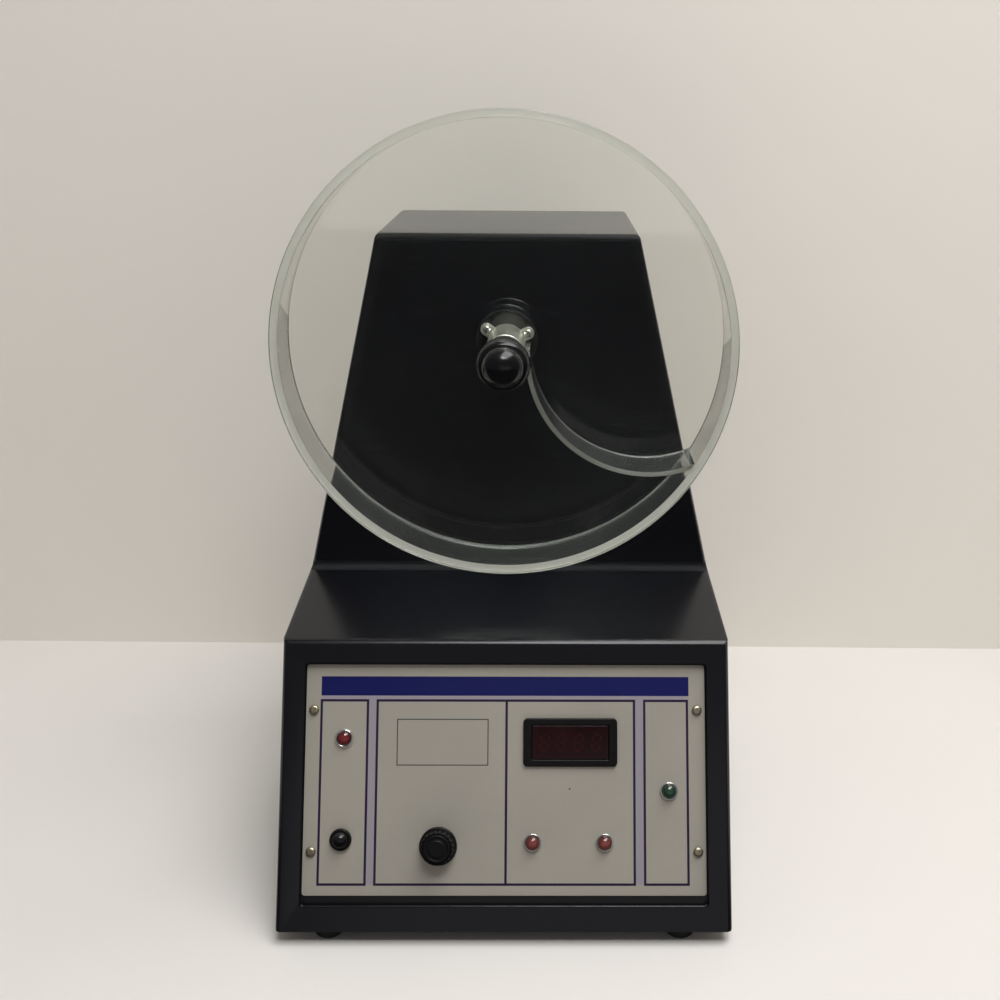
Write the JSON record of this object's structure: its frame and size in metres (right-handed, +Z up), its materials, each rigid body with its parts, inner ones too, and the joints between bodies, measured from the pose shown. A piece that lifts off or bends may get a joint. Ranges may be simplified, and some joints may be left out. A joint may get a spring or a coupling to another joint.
{
  "type": "tablet friability tester",
  "caption": "Bench tester that tumbles tablets in a clear, baffled drum, turned by a gear motor in a tapering tower above a sloping control panel.",
  "frame": {"origin": "middle of the footprint, on the surface that the feet stand on", "axes": "+X to the right seen from the front, +Y to the back, +Z up; the control panel and the drum's cover face -Y"},
  "size_m": [0.3, 0.3432, 0.5228],
  "materials": {
    "black_paint": "satin black powder coat",
    "grey_panel": "matt printed grey plate",
    "clear_acrylic": "clear, polished",
    "satin_aluminium": "turned, satin",
    "bright_steel": "bright plated",
    "black_plastic": "glossy black",
    "black_rubber": "matt",
    "red_plastic": "glossy red",
    "green_plastic": "glossy dark green",
    "dark_red_window": "glossy dark red filter",
    "green_board": "solder mask",
    "grey_core": "laminated and cast grey metal"
  },
  "bodies": {
    "case": {"base_plate": "bright_steel", "bearing_front": "bright_steel", "bearing_housing": "black_paint", "bearing_rear": "bright_steel", "bearing_ring_nut": "bright_steel", "control_panel": "grey_panel", "cover_screw_lower_left": "bright_steel", "cover_screw_lower_right": "bright_steel", "cover_screw_upper_left": "bright_steel", "cover_screw_upper_right": "bright_steel", "display_bezel": "black_plastic", "display_board": "green_board", "display_window": "dark_red_window", "foot_front_left": "black_rubber", "foot_front_right": "black_rubber", "foot_rear_left": "black_rubber", "foot_rear_right": "black_rubber", "foot_screw_front_left": "bright_steel", "foot_screw_front_right": "bright_steel", "foot_screw_rear_left": "bright_steel", "foot_screw_rear_right": "bright_steel", "fuse_holder": "black_plastic", "gearbox": "grey_core", "housing": "black_paint", "main_board": "green_board", "mains_switch": "black_plastic", "motor": "black_paint", "motor_bracket": "bright_steel", "panel_screw_lower_left": "bright_steel", "panel_screw_lower_right": "bright_steel", "panel_screw_upper_left": "bright_steel", "panel_screw_upper_right": "bright_steel", "power_inlet": "black_plastic", "power_lamp_bezel": "satin_aluminium", "power_lamp_lens": "red_plastic", "rear_cover": "black_paint", "speed_pot": "satin_aluminium", "start_switch": "satin_aluminium", "timer_left_switch": "satin_aluminium", "timer_right_switch": "satin_aluminium", "transformer": "grey_core"},
    "drum": {"drive_shaft": "bright_steel", "shaft_coupling": "satin_aluminium", "gearbox_shaft": "bright_steel", "drive_flange": "black_paint", "drum_rear_plate": "clear_acrylic", "drum_rim": "clear_acrylic", "drum_baffle": "clear_acrylic", "hub_ring": "satin_aluminium", "hub_screw_1": "bright_steel", "hub_screw_2": "bright_steel", "hub_screw_3": "bright_steel"},
    "cover": {"drum_cover": "clear_acrylic"},
    "cover_knob": {"cover_knob": "black_plastic"},
    "speed_knob": {"speed_knob": "black_plastic", "pot_shaft": "bright_steel"},
    "mains_button": {"mains_button": "black_plastic"},
    "timer_left_button": {"timer_left_button": "red_plastic"},
    "timer_right_button": {"timer_right_button": "red_plastic"},
    "start_button": {"start_button": "green_plastic"}
  },
  "joints": [
    {"name": "drum_spin", "type": "hinge", "parent": "case", "child": "drum", "pos_m": [0, -0.07969, 0.3743], "axis": [0, -1, 0], "continuous": true},
    {"name": "cover_off", "type": "slide", "parent": "drum", "child": "cover", "axis": [0, -1, 0], "range_m": [0, 0.06]},
    {"name": "knob_off", "type": "slide", "parent": "drum", "child": "cover_knob", "axis": [0, -1, 0], "range_m": [0, 0.09]},
    {"name": "speed_turn", "type": "hinge", "parent": "case", "child": "speed_knob", "pos_m": [-0.04409, -0.14361, 0.05717], "axis": [0, -0.9018, 0.4321], "range_deg": [-150, 150]},
    {"name": "mains_press", "type": "slide", "parent": "case", "child": "mains_button", "axis": [0, 0.9018, -0.4321], "range_m": [0, 0.0025], "stiffness_N_per_m": 600},
    {"name": "timer_left_press", "type": "slide", "parent": "case", "child": "timer_left_button", "axis": [0, 0.9018, -0.4321], "range_m": [0, 0.0025], "stiffness_N_per_m": 600},
    {"name": "timer_right_press", "type": "slide", "parent": "case", "child": "timer_right_button", "axis": [0, 0.9018, -0.4321], "range_m": [0, 0.0025], "stiffness_N_per_m": 600},
    {"name": "start_press", "type": "slide", "parent": "case", "child": "start_button", "axis": [0, 0.9018, -0.4321], "range_m": [0, 0.0025], "stiffness_N_per_m": 600}
  ],
  "couplings": [
    {"joint": "knob_off", "follows": "cover_off", "ratio": 1.5}
  ]
}
